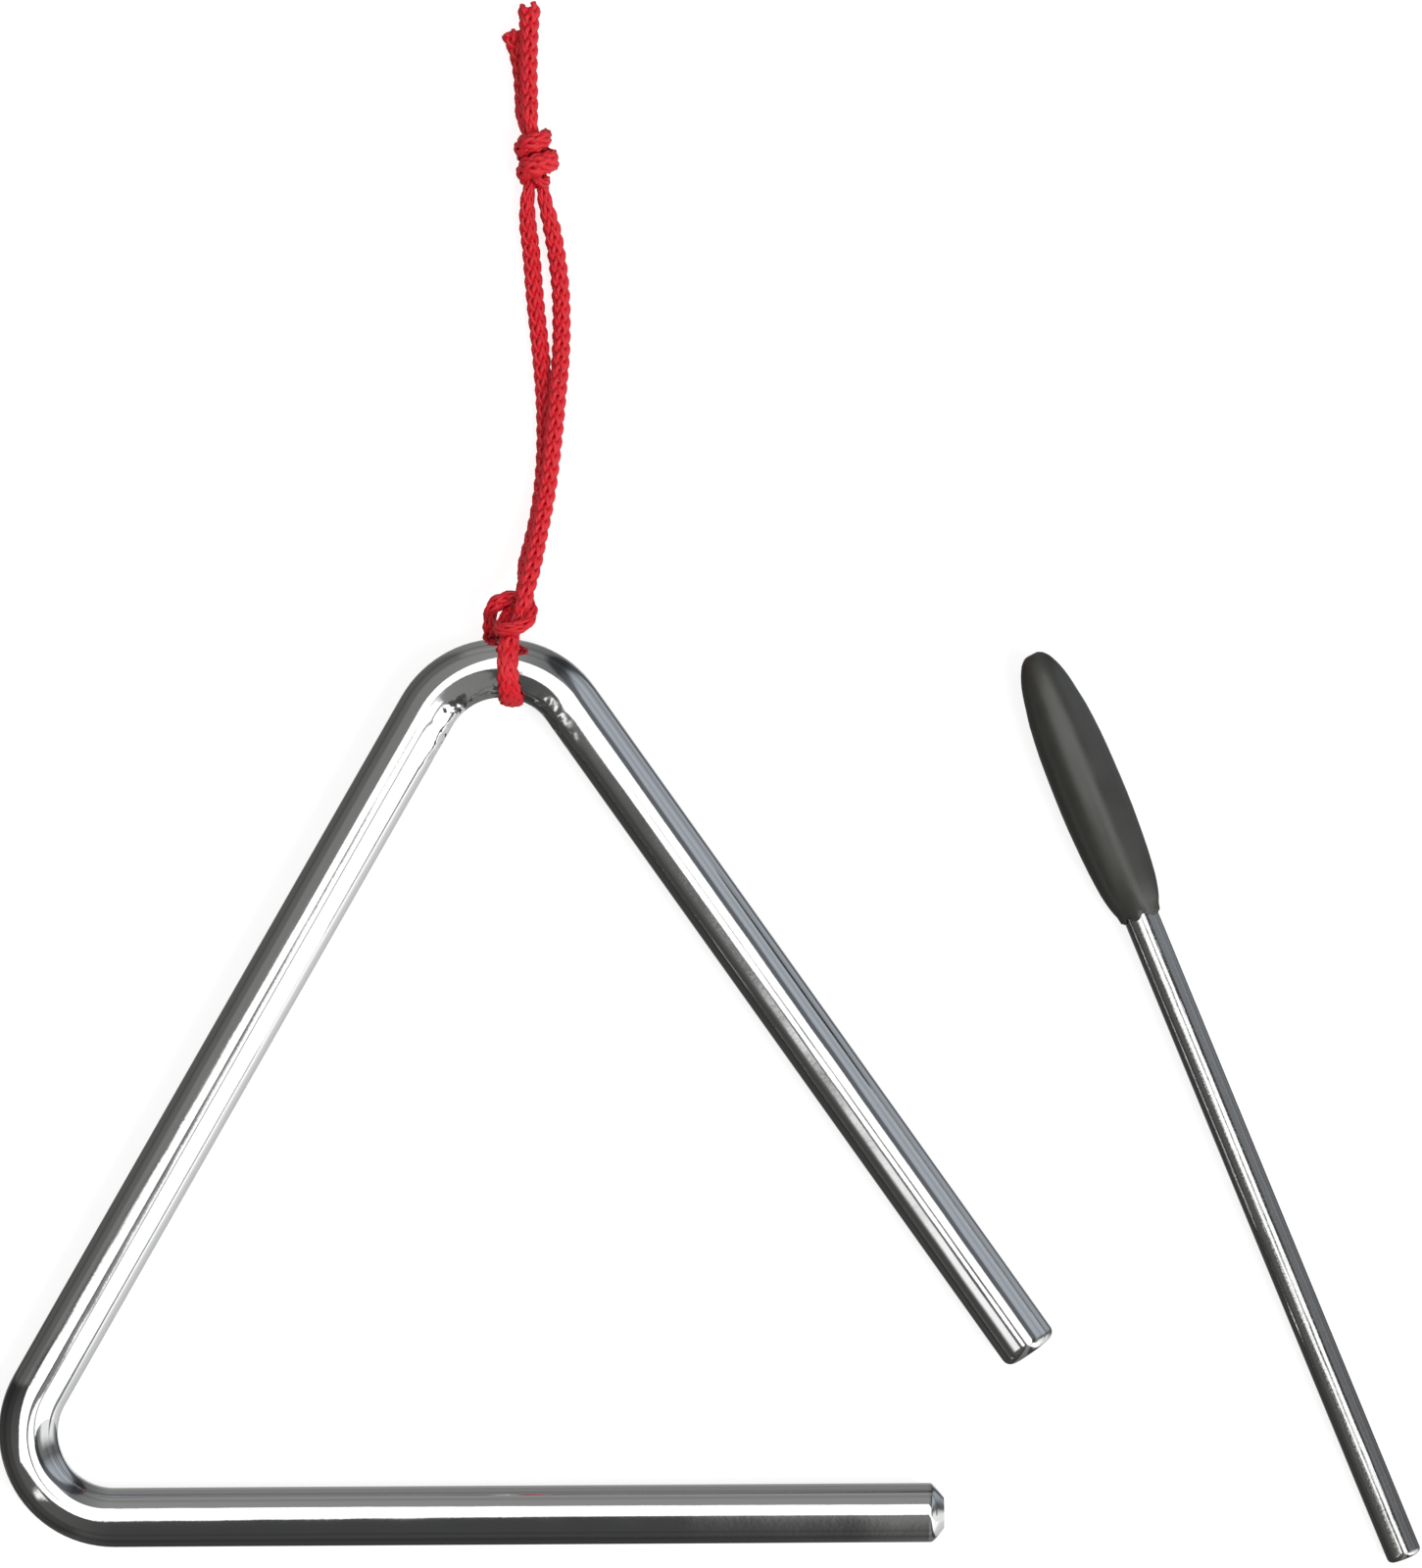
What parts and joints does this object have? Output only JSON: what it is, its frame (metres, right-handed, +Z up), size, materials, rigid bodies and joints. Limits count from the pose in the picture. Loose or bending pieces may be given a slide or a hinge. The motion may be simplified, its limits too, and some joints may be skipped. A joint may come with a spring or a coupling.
{
  "type": "triangle instrument",
  "caption": "Open-cornered bent-rod triangle for striking, with a knotted knit cord looped on its top bend and a separate straight beater with a moulded grip.",
  "frame": {"origin": "centre of the bottom of the box round the triangle, the beater and its grip, without the cord, on the table they lie on", "axes": "+X along the triangle's base bar towards its open corner, +Y towards the bend that carries the cord, +Z up off the table"},
  "size_m": [0.2404, 0.2648, 0.0146],
  "materials": {
    "triangle_plating": "bright plated steel, ground ends",
    "cord_knit": "red knitted round cord",
    "beater_plating": "plated steel rod, light polish",
    "grip_rubber": "black moulded rubber, satin"
  },
  "bodies": {
    "triangle": {"triangle_rod": "triangle_plating"},
    "cord": {"cord": "cord_knit"},
    "beater": {"beater_rod": "beater_plating", "beater_grip": "grip_rubber"}
  },
  "joints": [
    {"name": "cord_swing", "type": "hinge", "parent": "triangle", "child": "cord", "pos_m": [-0.03334, 0.07378, 0.0067], "axis": [0.9965, -0.0837, -0.001], "range_deg": [0, 110]},
    {"name": "beater_lift", "type": "slide", "parent": "triangle", "child": "beater", "axis": [0, 0, 1], "range_m": [0, 0.15]}
  ]
}
